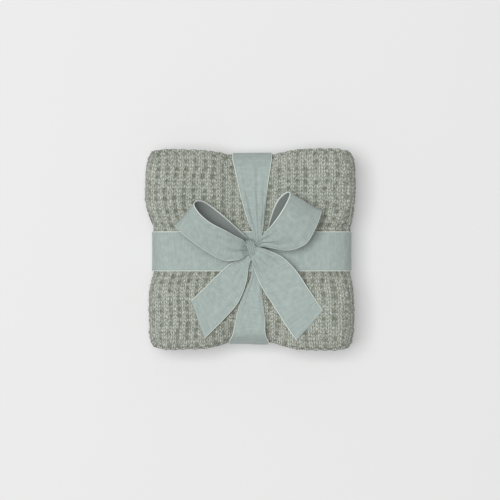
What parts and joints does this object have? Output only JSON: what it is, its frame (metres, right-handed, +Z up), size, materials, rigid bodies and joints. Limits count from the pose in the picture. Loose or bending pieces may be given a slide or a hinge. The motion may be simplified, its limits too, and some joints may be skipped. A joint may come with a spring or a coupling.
{
  "type": "folded waffle weave blanket tied with a ribbon",
  "caption": "Waffle weave cotton blanket folded flat to a square pack and tied crosswise with a wide woven ribbon and a bow, lying on its back.",
  "frame": {"origin": "under the middle of the pack, on the surface it lies on", "axes": "+Z up through the folded layers, towards the bow; +Y towards the far side of the pack seen from above; +X towards the side where both hemmed ends of the folded section lie"},
  "size_m": [0.2019, 0.1939, 0.092],
  "materials": {
    "waffle_cotton": "matt, soft waffle weave in a muted sage green",
    "woven_ribbon": "matt, fine crosswise ribs, pale grey green, unprinted"
  },
  "bodies": {
    "root": {"blanket": "waffle_cotton", "ribbon_across": "woven_ribbon", "ribbon_lengthwise": "woven_ribbon", "knot": "woven_ribbon", "loop_left": "woven_ribbon", "loop_right": "woven_ribbon", "tail_left": "woven_ribbon", "tail_right": "woven_ribbon"}
  },
  "joints": []
}
